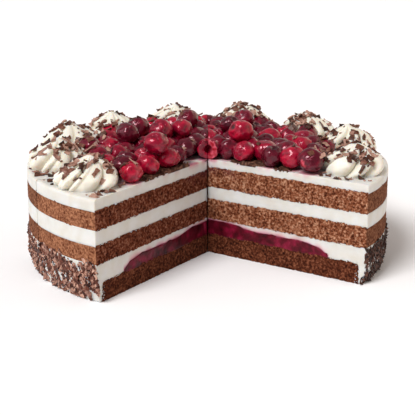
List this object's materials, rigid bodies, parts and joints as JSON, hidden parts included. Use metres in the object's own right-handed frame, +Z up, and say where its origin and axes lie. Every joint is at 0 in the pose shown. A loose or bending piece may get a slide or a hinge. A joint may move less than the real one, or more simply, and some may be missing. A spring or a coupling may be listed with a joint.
{
  "type": "cherry cream cake",
  "caption": "Round chocolate sponge and whipped cream cake with cherries, piped rosettes and chocolate shavings, cut into portions, with a quarter missing.",
  "frame": {"origin": "middle of the bounding box, on the plane that the cake stands on", "axes": "+Z up; -Y towards the missing quarter, which the front view looks into; +X to the right in that view; the knife cut at the back lies in the YZ plane"},
  "size_m": [0.2828, 0.2576, 0.1055],
  "materials": {
    "chocolate_sponge": "dark chocolate sponge with an open crumb, matt",
    "whipped_cream": "smoothed whipped cream, off-white, soft satin",
    "piped_cream": "piped whipped cream, ivory, soft satin",
    "cherry_filling": "set cherry jelly, dark purple-red, moist",
    "sour_cherry": "pitted sour cherries, dark red, wet with juice",
    "chocolate_shavings": "shaved dark chocolate, dull sheen"
  },
  "bodies": {
    "root": {"right_sponge_bottom": "chocolate_sponge", "right_cherry_filling": "cherry_filling", "right_cream_lower": "whipped_cream", "right_sponge_middle": "chocolate_sponge", "right_cream_middle": "whipped_cream", "right_sponge_top": "chocolate_sponge", "right_cream_top": "whipped_cream", "right_cherries": "sour_cherry", "right_rosette_1": "piped_cream", "right_rosette_2": "piped_cream", "right_rosette_3": "piped_cream", "right_rosette_4": "piped_cream", "left_sponge_bottom": "chocolate_sponge", "left_cherry_filling": "cherry_filling", "left_cream_lower": "whipped_cream", "left_sponge_middle": "chocolate_sponge", "left_cream_middle": "whipped_cream", "left_sponge_top": "chocolate_sponge", "left_cream_top": "whipped_cream", "left_cherries": "sour_cherry", "left_rosette_1": "piped_cream", "left_rosette_2": "piped_cream", "left_rosette_3": "piped_cream", "left_rosette_4": "piped_cream", "front_sponge_bottom": "chocolate_sponge", "front_cherry_filling": "cherry_filling", "front_cream_lower": "whipped_cream", "front_sponge_middle": "chocolate_sponge", "front_cream_middle": "whipped_cream", "front_sponge_top": "chocolate_sponge", "front_cream_top": "whipped_cream", "front_cherries": "sour_cherry", "front_rosette_1": "piped_cream"}
  },
  "joints": []
}
